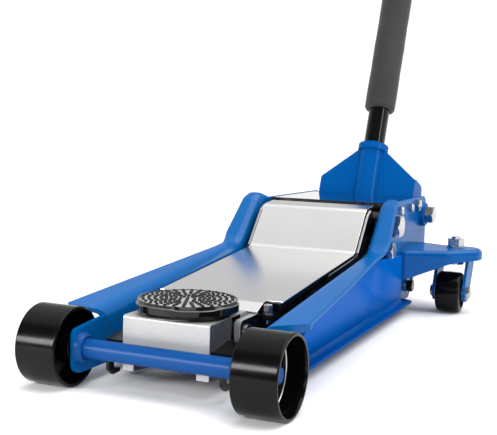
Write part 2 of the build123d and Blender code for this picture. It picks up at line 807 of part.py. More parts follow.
# ---- yoke, pump plunger and handle ------------------------------------------
def yoke_parts():
    p = {}
    # front plate, leaning with the handle, house shaped with an arch below
    face_y = HY - (HZ - 211.5) * _s / _c - 8.0 / _c

    def put(u, v):
        return (u, face_y + v * _s, 211.5 + v * _c)

    house = [
        (-87.0, -56.0),
        (-44.0, -56.0),
        (-42.0, -34.0, 8.0),
        (42.0, -34.0, 8.0),
        (44.0, -56.0),
        (87.0, -56.0),
        (87.0, 0.0, 3.0),
        (27.0, 52.0, 3.0),
        (-27.0, 52.0, 3.0),
        (-87.0, 0.0, 3.0),
    ]
    plate = extrude(rounded(house, put), amount=6.0, dir=(0, _c, -_s))
    cheek = prism_x(
        [
            (731.0, 166.0),
            (751.0, 212.0),
            (757.0, 212.0),
            (800.0, 198.0, 10.0),
            (802.0, 168.0, 12.0),
            (PUMP_PIN[0] + 15, PUMP_PIN[1] + 2, 9.0),
            (PUMP_PIN[0] + 8, PUMP_PIN[1] - 15, 9.0),
            (PUMP_PIN[0] - 12, PUMP_PIN[1] - 12, 9.0),
            (722.0, 146.0, 12.0),
            (724.0, 163.0, 6.0),
        ],
        82.0,
        87.0,
    )
    cheeks = cheek + flip(cheek)
    yoke = plate + cheeks
    socket_out = rod_h(22.5, -88, 2)
    yoke -= socket_out
    yoke -= rod_h(27.0, -10, 3)
    yoke -= rod_x(YY, YZ, 9.0 + FIT, 70, 100)
    yoke -= rod_x(YY, YZ, 9.0 + FIT, -100, -70)
    yoke -= rod_x(*PUMP_PIN, 6.0, -100, 100)
    p["handle_yoke"] = yoke
    socket = socket_out + rod_h(27.0, -10, 2)
    # half-round foot that carries the socket's front down to the rear cover
    y, z = handle_pt(-97)
    ahead = Pos(0, y, z) * Rot(-HANDLE_LEAN, 0, 0) * Pos(0, -33.0, 0) * Box(90, 50, 40)
    socket += rod_h(22.5, -107, -87) & ahead
    socket -= rod_h(HANDLE_R + FIT, -140, 20)
    p["handle_socket"] = socket
    p["yoke_roller_pin"] = rod_x(*PUMP_PIN, 6.0, -87, 87)
    p["yoke_roller"] = rod_x(*PUMP_PIN, PUMP_ROLLER_R, -14, 14) - rod_x(
        *PUMP_PIN, 6.0 + FIT, -30, 30
    )
    plunger = rod_y(0, PUMP_Z, 9.0, 682.0, PLUNGER_FACE_Y - 5) + rod_y(
        0, PUMP_Z, 11.0, PLUNGER_FACE_Y - 5, PLUNGER_FACE_Y
    )
    p["pump_plunger"] = plunger
    stem = rod_h(7.0, -131.5, -112) + rod_h(11.0, -117, -100)
    y, z = handle_pt(-103)
    stem -= Pos(0, y, z) * Rot(-HANDLE_LEAN, 0, 0) * Box(8.0, 60, 14)
    p["release_valve_stem"] = stem

    lower = rod_h(HANDLE_R, -84, 430) - rod_h(UPPER_R, 330, 440) - rod_h(15.0, -74, 335)
    p["handle_lower_tube"] = lower
    upper = rod_h(UPPER_R, 345, HANDLE_TOP - 6) - rod_h(12.8, 330, HANDLE_TOP + 10)
    p["handle_upper_tube"] = upper
    foam = rod_h(FOAM_R, 74, 374) - rod_h(HANDLE_R, 40, 380)
    p["handle_bumper"] = foam
    grip = rod_h(GRIP_R, 690, HANDLE_TOP) - rod_h(UPPER_R, 680, HANDLE_TOP - 6)
    p["handle_grip"] = grip
    y, z = handle_pt(402)
    button = Pos(HANDLE_R - 1.0, y, z) * Rot(0, 90, 0) * Cylinder(4.0, 6.0)
    lower_hole = Pos(HANDLE_R, y, z) * Rot(0, 90, 0) * Cylinder(4.0 + FIT, 40.0)
    p["handle_lower_tube"] = lower - lower_hole
    p["handle_upper_tube"] = upper - lower_hole
    p["handle_join_button"] = button
    return p


def model():
    parts = {}
    for make in (frame_parts, wheel_parts, arm_parts, yoke_parts):
        parts.update(make())
    return parts


def main():
    os.makedirs("parts", exist_ok=True)
    for name, shape in model().items():
        moved = Pos(0, -YC, 0) * shape
        export_step(moved, f"parts/{name}.step")
        n = len(moved.solids())
        print(name, n, round(moved.volume))


if __name__ == "__main__":
    main()
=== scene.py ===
import json
import math

import bmesh
import bpy
from mathutils import Matrix, Vector


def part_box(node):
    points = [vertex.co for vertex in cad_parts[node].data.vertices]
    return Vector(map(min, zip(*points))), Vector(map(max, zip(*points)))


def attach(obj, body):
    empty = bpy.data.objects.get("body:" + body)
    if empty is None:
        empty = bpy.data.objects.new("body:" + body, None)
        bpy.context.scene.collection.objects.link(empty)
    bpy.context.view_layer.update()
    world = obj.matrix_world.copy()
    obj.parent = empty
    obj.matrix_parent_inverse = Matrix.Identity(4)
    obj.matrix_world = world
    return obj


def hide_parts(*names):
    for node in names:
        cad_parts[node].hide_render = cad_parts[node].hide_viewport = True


# Low-profile trolley jack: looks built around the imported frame, metres, +Z up.
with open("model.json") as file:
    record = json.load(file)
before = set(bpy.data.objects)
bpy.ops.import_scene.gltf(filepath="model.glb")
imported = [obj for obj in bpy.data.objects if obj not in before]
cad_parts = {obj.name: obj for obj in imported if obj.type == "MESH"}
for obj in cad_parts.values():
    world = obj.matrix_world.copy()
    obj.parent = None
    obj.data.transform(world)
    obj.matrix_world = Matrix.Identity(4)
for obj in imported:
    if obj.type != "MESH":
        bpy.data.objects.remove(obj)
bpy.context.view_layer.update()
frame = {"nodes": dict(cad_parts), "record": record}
NODES = frame["nodes"]
lo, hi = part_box("front_axle")
YC = -(lo.y + hi.y) / 2 * 1000.0  # front axle's distance from the origin, mm


def P(x, y, z):
    """A point given in mm with the front axle at y = 0, as row metres."""
    return Vector((x / 1000.0, (y - YC) / 1000.0, z / 1000.0))


# ---- materials -------------------------------------------------------------
def new_mat(name):
    m = bpy.data.materials.new(name)
    m.use_nodes = True
    nt = m.node_tree
    b = nt.nodes["Principled BSDF"]
    return m, nt, b


def node(nt, kind, **props):
    n = nt.nodes.new(kind)
    for k, v in props.items():
        setattr(n, k, v)
    return n


def coords(nt, scale=(1, 1, 1)):
    tc = node(nt, "ShaderNodeTexCoord")
    mp = node(nt, "ShaderNodeMapping")
    mp.inputs["Scale"].default_value = scale
    nt.links.new(tc.outputs["Object"], mp.inputs["Vector"])
    return mp.outputs["Vector"]


def noise(nt, vec, scale, detail=4.0, rough=0.55):
    n = node(nt, "ShaderNodeTexNoise")
    n.inputs["Scale"].default_value = scale
    n.inputs["Detail"].default_value = detail
    n.inputs["Roughness"].default_value = rough
    nt.links.new(vec, n.inputs["Vector"])
    return n.outputs["Fac"]


def ramp(nt, fac, stops):
    r = node(nt, "ShaderNodeValToRGB")
    el = r.color_ramp.elements
    while len(el) < len(stops):
        el.new(0.5)
    for e, (pos, col) in zip(el, stops):
        e.position = pos
        e.color = (*col, 1.0)
    nt.links.new(fac, r.inputs["Fac"])
    return r.outputs["Color"]


def span(nt, fac, a, b, lo_in=0.0, hi_in=1.0):
    m = node(nt, "ShaderNodeMapRange")
    m.inputs["From Min"].default_value = lo_in
    m.inputs["From Max"].default_value = hi_in
    m.inputs["To Min"].default_value = a
    m.inputs["To Max"].default_value = b
    nt.links.new(fac, m.inputs["Value"])
    return m.outputs["Result"]


def bump(nt, b, height, strength, distance):
    n = node(nt, "ShaderNodeBump")
    n.inputs["Strength"].default_value = strength
    n.inputs["Distance"].default_value = distance
    nt.links.new(height, n.inputs["Height"])
    nt.links.new(n.outputs["Normal"], b.inputs["Normal"])


def lin(r, g, b):
    """sRGB 0-255 to linear."""

    def f(c):
        c /= 255.0
        return c / 12.92 if c <= 0.04045 else ((c + 0.055) / 1.055) ** 2.4

    return (f(r), f(g), f(b))


def paint(name, base, rough=0.32, coat=0.5, coat_rough=0.08, peel=0.06, vary=0.06, spec=0.5):
    """Sprayed enamel: faint colour drift, orange peel and soft wear in the gloss."""
    m, nt, b = new_mat(name)
    v = coords(nt)
    drift = noise(nt, v, 9.0, 3.0)
    dark = tuple(c * (1 - vary) for c in base)
    light = tuple(min(1.0, c * (1 + vary)) for c in base)
    nt.links.new(ramp(nt, drift, [(0.3, dark), (0.7, light)]), b.inputs["Base Color"])
    fine = noise(nt, v, 60.0, 5.0)
    nt.links.new(span(nt, fine, rough * 0.85, rough * 1.2, 0.3, 0.7), b.inputs["Roughness"])
    bump(nt, b, noise(nt, v, 420.0, 2.0), peel, 0.0006)
    b.inputs["Coat Weight"].default_value = coat
    b.inputs["Coat Roughness"].default_value = coat_rough
    b.inputs["Specular IOR Level"].default_value = spec
    return m


def painted_foot_shade(m, z0, z1, k):
    """Painted shade: darkens the enamel's colour towards the bottom edge, heights in metres."""
    nt = m.node_tree
    b = next(q for q in nt.nodes if q.type == "BSDF_PRINCIPLED")
    src = b.inputs["Base Color"].links[0].from_socket
    sep = node(nt, "ShaderNodeSeparateXYZ")
    nt.links.new(node(nt, "ShaderNodeTexCoord").outputs["Object"], sep.inputs[0])
    mix = node(nt, "ShaderNodeMix", data_type="RGBA", blend_type="MULTIPLY")
    mix.inputs[0].default_value = 1.0
    nt.links.new(src, mix.inputs[6])
    nt.links.new(span(nt, sep.outputs[2], k, 1.0, z0, z1), mix.inputs[7])
    nt.links.new(mix.outputs[2], b.inputs["Base Color"])
    return m


def brushed(name, base, rough, scale, dirt=0.06, strength=0.08, metal=1.0):
    """Rolled or brushed metal; scale stretches the grain."""
    m, nt, b = new_mat(name)
    grain = noise(nt, coords(nt, scale), 1.0, 6.0, 0.6)
    cloud = noise(nt, coords(nt), 14.0, 4.0)
    mix = node(nt, "ShaderNodeMath", operation="MULTIPLY_ADD")
    nt.links.new(cloud, mix.inputs[0])
    mix.inputs[1].default_value = 0.6
    nt.links.new(grain, mix.inputs[2])
    dark = tuple(c * (1 - dirt) for c in base)
    nt.links.new(ramp(nt, mix.outputs[0], [(0.45, dark), (1.1, base)]), b.inputs["Base Color"])
    nt.links.new(span(nt, mix.outputs[0], rough * 1.2, rough * 0.8, 0.4, 1.2), b.inputs["Roughness"])
    bump(nt, b, grain, strength, 0.0004)
    b.inputs["Metallic"].default_value = metal
    return m


BLUE = paint("blue_enamel", (0.0003, 0.090, 0.345), 0.4, 0.26, 0.14, 0.04, 0.04, 0.0)
RAIL_BLUE = paint("blue_rail_enamel", (0.0004, 0.100, 0.335), 0.4, 0.45, 0.2, 0.04, 0.04, 0.0)
# skirt blue: a lighter copy of the blue enamel as painted light, darkened towards the foot as painted shade
SKIRT_BLUE_LIT_SHADED = painted_foot_shade(paint("blue_skirt_enamel_lit_shaded", (0.0003, 0.102, 0.45), 0.4, 0.14, 0.2, 0.04, 0.04, 0.0), 0.02, 0.06, 0.6)
# axle blue: a darker copy of the blue enamel, painted shade
AXLE_BLUE_SHADED = paint("blue_axle_enamel_shaded", (0.0003, 0.052, 0.215), 0.4, 0.35, 0.34, 0.04, 0.04, 0.0)
BLACK = paint("black_enamel", (0.003, 0.003, 0.0035), 0.22, 0.0, 0.06, 0.05, 0.2, 0.3)
WHEEL = paint("black_wheel", (0.002, 0.002, 0.002), 0.17, 0.0, 0.1, 0.03, 0.2, 0.15)
HANDLE = paint("handle_gloss", (0.003, 0.003, 0.003), 0.1, 0.0, 0.03, 0.03, 0.2, 0.4)
SILVER = brushed("silver_sheet", (0.82, 0.82, 0.815), 0.19, (900.0, 30.0, 900.0))
BLOCK = brushed("block_sheet", (0.43, 0.43, 0.43), 0.4, (60.0, 700.0, 700.0), 0.1, 0.08, 0.4)
POLISHED = brushed("rear_sheet", (0.55, 0.56, 0.58), 0.07, (30.0, 700.0, 700.0), 0.08, 0.02)
# steel for cut edges, also used as a painted highlight
EDGE_AND_GLINT = brushed("cut_steel_edge_and_highlight", (0.50, 0.50, 0.51), 0.32, (200.0, 200.0, 200.0), 0.2, 0.1)
ARM_EDGE = brushed("arm_steel_edge", (0.42, 0.42, 0.43), 0.45, (200.0, 200.0, 200.0), 0.25, 0.1, 0.3)
ZINC = brushed("zinc_plate", (0.60, 0.60, 0.595), 0.26, (300.0, 300.0, 300.0), 0.2, 0.08)
STEEL = brushed("machined_steel", (0.62, 0.62, 0.63), 0.28, (900.0, 60.0, 60.0), 0.12)
CAST = brushed("cast_grey", (0.085, 0.085, 0.095), 0.42, (260.0, 260.0, 260.0), 0.35, 0.25, 0.25)


def foam_mat():
    m, nt, b = new_mat("foam_sleeve")
    v = coords(nt)
    cells = noise(nt, v, 900.0, 2.0)
    cloud = noise(nt, v, 25.0, 4.0)
    nt.links.new(
        ramp(nt, cloud, [(0.3, lin(35, 34, 35)), (0.7, lin(45, 44, 45))]), b.inputs["Base Color"]
    )
    nt.links.new(span(nt, cells, 0.62, 0.85, 0.3, 0.7), b.inputs["Roughness"])
    bump(nt, b, cells, 0.25, 0.0006)
    b.inputs["Sheen Weight"].default_value = 0.12
    b.inputs["Sheen Roughness"].default_value = 0.5
    return m


def rubber_mat():
    m, nt, b = new_mat("grip_rubber")
    v = coords(nt)
    n1 = noise(nt, v, 500.0, 3.0)
    nt.links.new(
        ramp(nt, noise(nt, v, 30.0, 3.0), [(0.3, (0.012, 0.012, 0.012)), (0.7, (0.02, 0.02, 0.02))]),
        b.inputs["Base Color"],
    )
    nt.links.new(span(nt, n1, 0.55, 0.75, 0.3, 0.7), b.inputs["Roughness"])
    bump(nt, b, n1, 0.2, 0.0005)
    return m


FOAM = foam_mat()
GRIP = rubber_mat()
KNOB = paint("knob_black", (0.003, 0.003, 0.003), 0.34, 0.0, 0.15, 0.05, 0.2, 0.3)
PLATE = brushed("saddle_plate_grey", (0.46, 0.46, 0.455), 0.5, (400.0, 400.0, 400.0), 0.35, 0.2, 0.2)
RIM = paint("saddle_gloss", (0.003, 0.003, 0.003), 0.13, 0.0, 0.1, 0.05, 0.2, 0.3)
RIM_HIGHLIGHT = brushed("saddle_rim_highlight", (0.15, 0.15, 0.15), 0.38, (200.0, 200.0, 200.0), 0.3, 0.1, 0.5)

SLOT_MATS = {
    "blue_paint": BLUE,
    "zinc_steel": ZINC,
    "silver_sheet": SILVER,
    "machined_steel": STEEL,
    "cast_grey": CAST,
    "black_paint": BLACK,
    "black_wheel": WHEEL,
    "handle_black": HANDLE,
    "foam": FOAM,
    "grip_rubber": GRIP,
}
SLOT_OF = {s["node"]: s["material_slot"] for s in frame["record"]["subparts"]}
BODY_PAIRS = [(n, b) for b, ns in frame["record"]["behaviour"]["bodies"].items() for n in ns]


def set_mat(obj, m):
    obj.data.materials.clear()
    obj.data.materials.append(m)


for name, obj in NODES.items():
    set_mat(obj, SLOT_MATS[SLOT_OF[name]])
set_mat(NODES["front_axle"], AXLE_BLUE_SHADED)
set_mat(NODES["axle_retaining_rings"], BLACK)

BODY_OF = dict(BODY_PAIRS)


# ---- mesh helpers ------------------------------------------------------------
def finish_mesh(name, bm, mat, body, nodes=(), smooth=38.0):
    bmesh.ops.recalc_face_normals(bm, faces=bm.faces)
    for f in bm.faces:
        f.smooth = True
    for ed in bm.edges:
        if len(ed.link_faces) == 2 and ed.calc_face_angle() > math.radians(smooth):
            ed.smooth = False
    me = bpy.data.meshes.new(name)
    bm.to_mesh(me)
    bm.free()
    obj = bpy.data.objects.new(name, me)
    bpy.context.scene.collection.objects.link(obj)
    set_mat(obj, mat)
    even = obj.modifiers.new("even_normals", "WEIGHTED_NORMAL")
    even.keep_sharp = True
    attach(obj, body)
    if nodes:
        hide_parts(*nodes)
    return obj


def zone(obj, mat, pick):
    """Second finish on the faces that pick(x, y, z, normal) accepts, mm."""
    obj.data.materials.append(mat)
    k = len(obj.data.materials) - 1
    for f in obj.data.polygons:
        c = f.center
        if pick(c.x * 1000.0, c.y * 1000.0 + YC, c.z * 1000.0, f.normal):
            f.material_index = k
    return obj


def raw(verts, faces, weld=2e-6):
    """bmesh from points in mm and index faces."""
    bm = bmesh.new()
    vs = [bm.verts.new(P(*v)) for v in verts]
    for f in faces:
        try:
            bm.faces.new([vs[i] for i in f])
        except ValueError:
            pass
    bmesh.ops.remove_doubles(bm, verts=bm.verts, dist=weld)
    return bm


def round_edges(bm, width, angle=50.0, segments=2, pick=None):
    """Bevel every edge sharper than the angle; width in mm."""
    bmesh.ops.recalc_face_normals(bm, faces=bm.faces)
    edges = [
        ed
        for ed in bm.edges
        if len(ed.link_faces) == 2
        and ed.calc_face_angle() > math.radians(angle)
        and (pick is None or pick(ed))
    ]
    bmesh.ops.bevel(
        bm,
        geom=edges,
        offset=width / 1000.0,
        offset_type="OFFSET",
        segments=segments,
        profile=0.5,
        affect="EDGES",
        clamp_overlap=True,
    )


def soften(points, steps=6):
    """Open polyline through (u, v[, r]) corners with rounded corners."""
    out = []
    n = len(points)
    for i, q in enumerate(points):
        u, v = q[0], q[1]
        r = q[2] if len(q) > 2 else 0.0
        if r <= 0 or i in (0, n - 1):
            out.append((u, v))
            continue
        pa, pb = points[i - 1], points[i + 1]
        la, lb = math.hypot(pa[0] - u, pa[1] - v), math.hypot(pb[0] - u, pb[1] - v)
        ua = ((pa[0] - u) / la, (pa[1] - v) / la)
        ub = ((pb[0] - u) / lb, (pb[1] - v) / lb)
        half = math.acos(max(-1.0, min(1.0, ua[0] * ub[0] + ua[1] * ub[1]))) / 2
        d = min(r / math.tan(half), 0.49 * la if i > 1 else 0.98 * la, 0.49 * lb if i < n - 2 else 0.98 * lb)
        rr = d * math.tan(half)
        bx, by = ua[0] + ub[0], ua[1] + ub[1]
        bl = math.hypot(bx, by) or 1.0
        c = (u + bx / bl * rr / math.sin(half), v + by / bl * rr / math.sin(half))
        a0 = math.atan2(v + ua[1] * d - c[1], u + ua[0] * d - c[0])
        a1 = math.atan2(v + ub[1] * d - c[1], u + ub[0] * d - c[0])
        da = (a1 - a0 + math.pi) % (2 * math.pi) - math.pi
        for k in range(steps + 1):
            t = a0 + da * k / steps
            out.append((c[0] + rr * math.cos(t), c[1] + rr * math.sin(t)))
    return out


def close_loop(points, steps=6):
    """Closed outline with rounded corners from (u, v[, r])."""
    ext = [points[-1]] + list(points) + [points[0]]
    full = []
    for i in range(1, len(ext) - 1):
        tri = soften(
            [
                ((ext[i - 1][0] + ext[i][0]) / 2, (ext[i - 1][1] + ext[i][1]) / 2),
                ext[i],
                ((ext[i + 1][0] + ext[i][0]) / 2, (ext[i + 1][1] + ext[i][1]) / 2),
            ],
            steps,
        )
        full += tri[1:-1]
    return full


HY, HZ, LEAN = 781.0, 266.0, math.radians(23.0)


def on_x(y0, z0, side=1):
    return lambda a, r, t: (side * a, y0 + r * math.cos(t), z0 + r * math.sin(t))


def on_z(x0, y0):
    return lambda a, r, t: (x0 + r * math.cos(t), y0 + r * math.sin(t), a)


def on_handle(a, r, t):
    sy, cz = math.sin(LEAN), math.cos(LEAN)
    f = r * math.sin(t)
    return (r * math.cos(t), HY + sy * a + cz * f, HZ + cz * a - sy * f)


def lathe(profile, put, segs=128, closed=True):
    """Turned solid from (along, radius) points; a closed profile makes a ring."""
    n = len(profile)
    verts, faces = [], []
    for j in range(segs):
        t = 2 * math.pi * j / segs
        verts += [put(a, r, t) for a, r in profile]
    last = n if closed else n - 1
    for j in range(segs):
        k = (j + 1) % segs
        for i in range(last):
            m = (i + 1) % n
            faces.append((j * n + i, j * n + m, k * n + m, k * n + i))
    return raw(verts, faces)


def refined(nodename, width=0.9, angle=48.0, segments=2, mat=None, smooth=38.0):
    """The node's own shape with its hard edges broken."""
    src = NODES[nodename]
    bm = bmesh.new()
    bm.from_mesh(src.data)
    bmesh.ops.remove_doubles(bm, verts=bm.verts, dist=4e-6)
    bmesh.ops.dissolve_limit(
        bm, angle_limit=math.radians(0.6), verts=bm.verts, edges=bm.edges, use_dissolve_boundaries=False
    )
    round_edges(bm, width, angle, segments)
    return finish_mesh(
        nodename + "_look", bm, mat or SLOT_MATS[SLOT_OF[nodename]], BODY_OF[nodename], (nodename,), smooth
    )


def interp(table, t):
    if t <= table[0][0]:
        return table[0][1]
    for (a0, v0), (a1, v1) in zip(table, table[1:]):
        if t <= a1:
            return v0 + (v1 - v0) * (t - a0) / (a1 - a0)
    return table[-1][1]


def flange_z(y):
    return 86.3 + 0.1035 * (y - 80.0)


# ---- side rails --------------------------------------------------------------
def rail(side, inner_y, edge_pts, nodename):
    """Pressed rail: web, rolled bend, flange, ramp and hump in one sheet."""
    top = soften(
        [
            (112.0, flange_z(112.0)),
            (425.0, flange_z(425.0), 46.0),
            (487.0, 185.0, 26.0),
            (506.0, 194.0, 26.0),
            (531.0, 184.1),
        ],
        9,
    )
    path = []
    for (y0, z0), (y1, z1) in zip(top, top[1:]):
        m = max(1, int((y1 - y0) / 24.0))
        path += [(y0 + (y1 - y0) * k / m, z0 + (z1 - z0) * k / m) for k in range(m)]
    path.append(top[-1])
    outer_y, corner_x = edge_pts[0]
    wide = list(edge_pts) + [(438.0, 130.4), (446.0, 131.2), (454.0, 130.2), (488.0, 124.5), (502.0, 121.0), (510.0, 118.6), (518.0, 115.5), (524.0, 111.5), (531.0, 104.5)]
    bend = [(60.0, 15.0), (502.0, 15.0), (518.0, 10.0), (531.0, 3.0)]
    edge = [math.radians(90.0 * k / 4) for k in range(5)]
    arc = [math.radians(90.0 * k / 10) for k in range(11)]

    def section(y):
        x_out, r = interp(wide, y), interp(bend, y)
        ri = max(r - 5.0, 0.3)
        cx, co = 97.0 + r, 102.0 + ri
        pts = [(97.0, 17.0)]
        pts += [(cx - r * math.cos(t), r - r * math.sin(t)) for t in arc]
        flat0, flat1 = cx, x_out - 2.6
        pts += [(flat0 + (flat1 - flat0) * k / 4, 0.0) for k in range(1, 4)]
        pts += [(x_out - 2.6 + 2.6 * math.sin(t), 2.6 - 2.6 * math.cos(t)) for t in edge]
        pts += [(x_out, 4.0), (x_out - 1.0, 5.0)]
        pts += [(co + (x_out - 1.0 - co) * k / 4, 5.0) for k in (3, 2, 1)]
        pts += [(co - ri * math.cos(t), 5.0 + ri - ri * math.sin(t)) for t in arc[::-1]]
        pts += [(102.0, 17.0)]
        return pts

    def front(x):
        if side < 0 and x < 112.0:
            # the sheet's front corner is cut back beside the web
            return inner_y + 14.0 * (112.0 - x) / 15.0
        if x <= 101.0:
            return inner_y - 6.0 * (101.0 - x) / 11.0
        y = inner_y + (outer_y - inner_y) * (x - 101.0) / (corner_x - 101.0)
        if x > corner_x - 4.0:
            y += 4.0 * (1.0 - math.sqrt(max(0.0, 1.0 - ((x - corner_x + 4.0) / 4.0) ** 2)))
        return y

    verts, rows = [], []
    for k in range(7):
        w = k / 7.0
        row = []
        for x, d in section(outer_y + (112.0 - outer_y) * w):
            y = front(x) + (112.0 - front(x)) * w
            # the front edge is turned down a little
            if k < 2 and d > 3.0 and x > 112.0:
                d += (5.0 if k == 0 else 4.0) * min(1.0, (x - 112.0) / 12.0)
            row.append(len(verts))
            verts.append((side * x, y + 0.103 * d, flange_z(y) - 0.9947 * d))
        rows.append(row)
    for i, (y, z) in enumerate(path):
        tangents = []
        for j in (i - 1, i):
            if 0 <= j < len(path) - 1:
                du, dv = path[j + 1][0] - path[j][0], path[j + 1][1] - path[j][1]
                ln = math.hypot(du, dv)
                tangents.append((dv / ln, -du / ln))
        ny = sum(t[0] for t in tangents) / len(tangents)
        nz = sum(t[1] for t in tangents) / len(tangents)
        m = ny * ny + nz * nz
        row = []
        for x, d in section(y):
            row.append(len(verts))
            verts.append((side * x, y + ny * d / m, z + nz * d / m))
        rows.append(row)
    faces = []
    n = len(rows[0])
    for ra, rb in zip(rows, rows[1:]):
        for i in range(n - 1):
            faces.append((ra[i], ra[i + 1], rb[i + 1], rb[i]))
    half = n // 2
    for row in (rows[0], rows[-1]):
        for i in range(half - 1):
            faces.append((row[i], row[i + 1], row[n - 2 - i], row[n - 1 - i]))
        if n % 2:
            faces.append((row[half - 1], row[half], row[half + 1]))
    # the web hangs below the bend
    rest = close_loop(
        [
            (531.5, 184.0, 0.8),
            (776.0, 184.0, 20.0),
            (776.0, 60.0, 10.0),
            (722.0, 50.0, 20.0),
            (672.0, 17.0, 20.0),
            (-15.0, 17.0, 13.0),
            (-15.0, 67.0, 15.0),
            (0.0, 68.6, 30.0),
            (inner_y - 0.6 + (13.0 if side < 0 else 0.0), 73.2 + 0.13 * (inner_y - 32.6), 0.3),
        ],
        7,
    )
    ia, ib = len(verts), len(verts) + len(rest)
    verts += [(side * 97.0, y, z) for y, z in rest]
    verts += [(side * 102.0, y, z) for y, z in rest]
    m = len(rest)
    faces.append([row[0] for row in rows] + list(range(ia, ia + m)))
    faces.append([row[-1] for row in rows] + list(range(ib, ib + m)))
    for k in range(m - 1):
        faces.append((ia + k, ia + k + 1, ib + k + 1, ib + k))
    faces.append((rows[-1][0], ia, ib, rows[-1][-1]))
    faces.append((ia + m - 1, rows[0][0], rows[0][-1], ib + m - 1))
    bm = raw(verts, faces)
    round_edges(bm, 1.1, 62.0, 2)
    return finish_mesh(nodename + "_look", bm, RAIL_BLUE, "chassis", (nodename,), 34.0)


rail(1, 43.0, [(71.0, 143.8), (232.0, 137.0), (400.0, 125.6)], "side_plate_right")
rail(-1, 34.5, [(47.0, 151.2), (400.0, 121.2)], "side_plate_left")


def skirt(side, tops, nodename):
    """Lower side sheet: wall drawn in below the flange, turned out to a foot lip."""
    y0 = tops[0][0]
    top_x = list(tops) + [(424.0, 119.0), (462.0, 113.5), (602.0, 107.2)]
    top_z = [(60.0, flange_z(60.0) - 4.9), (400.0, flange_z(400.0) - 4.9), (424.0, flange_z(424.0) - 5.2), (462.0, 106.0), (602.0, 97.0)]
    lip_x = [(76.0, 123.5), (400.0, 121.5), (602.0, 120.3)]
    foot = [(76.0, 34.0), (424.0, 36.0), (462.0, 40.0), (602.0, 60.0)]
    stations = [y0 + (398.0 - y0) * k / 17.0 for k in range(18)] + [404.0, 412.0, 424.0, 436.0, 449.0, 462.0] + [476.0 + 14.0 * k for k in range(10)]
    verts, rows = [], []
    for y in stations:
        xt, zt, xl, zf = interp(top_x, y), interp(top_z, y), interp(lip_x, y), interp(foot, y)
        root = 108.0
        pts = soften(
            [
                (max(102.4, xt - 5.0), zt),
                (xt, zt, 1.6),
                (root - 0.6, 21.0, 15.0),
                (xl, 20.3, 1.6),
                (xl, 16.5, 1.0),
                (102.2, 16.5),
            ],
            7,
        )
        pts.append((102.2, zf))
        row = []
        for x, z in pts:
            row.append(len(verts))
            verts.append((side * x, y, z))
        rows.append(row)
    n = min(len(r) for r in rows)
    faces = []
    for ra, rb in zip(rows, rows[1:]):
        for i in range(n):
            m = (i + 1) % n
            faces.append((ra[i], ra[m], rb[m], rb[i]))
    faces.append(rows[0])
    faces.append(rows[-1])
    tail = close_loop([(102.2, 601.0), (120.3, 601.0), (120.0, 626.0, 3.0), (102.2, 638.0)], 4)
    k0 = len(verts)
    m = len(tail)
    verts += [(side * x, y, 20.3) for x, y in tail] + [(side * x, y, 16.5) for x, y in tail]
    faces.append(list(range(k0, k0 + m)))
    faces.append(list(range(k0 + m, k0 + 2 * m)))
    for k in range(m):
        q = (k + 1) % m
        faces.append((k0 + k, k0 + q, k0 + m + q, k0 + m + k))
    return finish_mesh(nodename + "_look", raw(verts, faces), SKIRT_BLUE_LIT_SHADED, "chassis", (nodename,), 40.0)


skirt(1, [(72.0, 142.9), (232.0, 136.1), (400.0, 122.8)], "side_skirt_right")
skirt(-1, [(92.0, 146.2), (400.0, 120.2)], "side_skirt_left")

# ---- wheels ------------------------------------------------------------------
FRONT = soften(
    [
        (103.8, 9.1), (103.8, 17.0, 1.0), (122.0, 18.5, 1.5), (122.0, 36.8, 3.0), (103.4, 41.0, 0.8),
        (103.4, 44.9, 1.8), (154.5, 45.0, 1.8), (154.5, 41.3, 0.9), (151.5, 40.6, 3.0), (131.6, 39.3, 0.3),
        (130.8, 38.5, 0.3), (130.0, 36.0, 0.4), (130.0, 16.5, 1.5), (135.0, 14.5, 1.0), (135.0, 9.1),
    ],
    5,
)
for side, tag in ((1, "right"), (-1, "left")):
    n = "front_wheel_" + tag
    obj = finish_mesh(n + "_look", lathe(FRONT, on_x(0.0, 45.0, side), 160), WHEEL, BODY_OF[n], (n,), 40.0)
    # painted highlight: a bright steel ring where the disc meets the rim
    zone(obj, EDGE_AND_GLINT, lambda x, y, z, nv: 130.7 < abs(x) < 131.7 and 38.0 < math.hypot(y, z - 45.0) < 39.5)

CAST_W = soften(
    [
        (-20.0, 6.1), (-20.0, 12.0, 0.8), (-15.9, 13.2, 1.5), (-15.5, 24.2, 2.2), (-20.0, 25.6, 1.2),
        (-18.8, 32.7, 6.4), (0.0, 33.6, 20.0), (18.8, 32.7, 6.4), (20.0, 25.6, 1.2), (15.5, 24.2, 2.2),
        (15.9, 13.2, 1.5), (20.0, 12.0, 0.8), (20.0, 6.1),
    ],
    5,
)
CAST_W = [(a + 172.0, min(r, 33.5)) for a, r in CAST_W]
for side, tag in ((1, "right"), (-1, "left")):
    n = "caster_wheel_" + tag
    finish_mesh(n + "_look", lathe(CAST_W, on_x(674.0, 33.5, side), 128), WHEEL, BODY_OF[n], (n,), 40.0)

